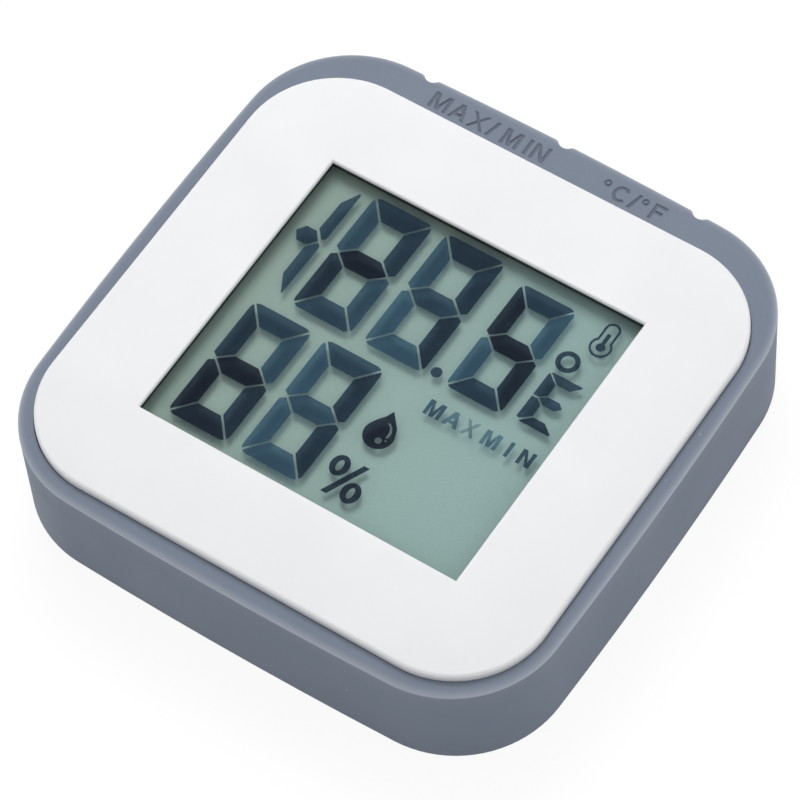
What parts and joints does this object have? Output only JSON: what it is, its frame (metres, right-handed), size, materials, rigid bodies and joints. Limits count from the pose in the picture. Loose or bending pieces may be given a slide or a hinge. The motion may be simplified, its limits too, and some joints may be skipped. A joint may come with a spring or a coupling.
{
  "type": "temperature humidity sensor",
  "caption": "Small square digital thermometer and hygrometer with a segment display, a silicone band with top-edge buttons, a coin cell door and a folding stand.",
  "frame": {"origin": "centre of the back face, where the device lies on a table", "axes": "+X to the display's right, +Y to its top edge with the buttons, +Z out of the display"},
  "size_m": [0.06, 0.06, 0.0127],
  "materials": {
    "front_plastic": "satin gloss white, moulded",
    "band_silicone": "matte slate grey silicone",
    "shell_plastic": "fine matte white, moulded",
    "mask_plastic": "matte black",
    "polarizer_film": "matt polarizing film",
    "display_glass": "clear float glass",
    "reflector_film": "grey green diffuse reflector",
    "strip_rubber": "layered conductive rubber",
    "foam": "closed cell foam",
    "board_laminate": "green solder mask on glass laminate",
    "epoxy": "cast black epoxy",
    "chip_ceramic": "fired ceramic with tinned ends",
    "sensor_case": "moulded black package",
    "switch_plastic": "black moulding",
    "contact_steel": "tinned spring steel",
    "stem_plastic": "white moulding",
    "cell_steel": "nickel plated steel can",
    "screw_steel": "zinc plated steel"
  },
  "bodies": {
    "case": {"front_plate": "front_plastic", "silicone_band": "band_silicone", "rear_shell": "shell_plastic", "display_mask": "mask_plastic", "front_polarizer": "polarizer_film", "display_front_glass": "display_glass", "display_rear_glass": "display_glass", "display_reflector": "reflector_film", "contact_strip": "strip_rubber", "foam_strip": "foam", "circuit_board": "board_laminate", "display_driver": "epoxy", "chip_components": "chip_ceramic", "humidity_sensor": "sensor_case", "max_min_switch": "switch_plastic", "unit_switch": "switch_plastic", "max_min_switch_cover": "contact_steel", "unit_switch_cover": "contact_steel", "positive_contact": "contact_steel", "negative_contact": "contact_steel", "coin_cell": "cell_steel", "housing_screws": "screw_steel", "board_screws": "screw_steel"},
    "max_min_button": {"max_min_button": "band_silicone", "max_min_switch_stem": "stem_plastic"},
    "unit_button": {"unit_button": "band_silicone", "unit_switch_stem": "stem_plastic"},
    "battery_door": {"battery_door": "shell_plastic"},
    "stand": {"stand": "shell_plastic"}
  },
  "joints": [
    {"name": "max_min_press", "type": "slide", "parent": "case", "child": "max_min_button", "axis": [0, -1, 0], "range_m": [0, 0.00035], "stiffness_N_per_m": 1500, "springref_m": -0.0002},
    {"name": "unit_press", "type": "slide", "parent": "case", "child": "unit_button", "axis": [0, -1, 0], "range_m": [0, 0.00035], "stiffness_N_per_m": 1500, "springref_m": -0.0002},
    {"name": "battery_door_turn", "type": "hinge", "parent": "case", "child": "battery_door", "pos_m": [0, -0.007, 0.0007], "axis": [0, 0, -1], "range_deg": [0, 35]},
    {"name": "stand_fold", "type": "hinge", "parent": "case", "child": "stand", "pos_m": [0, 0.01, 0.00105], "axis": [1, 0, 0], "range_deg": [0, 55]}
  ]
}
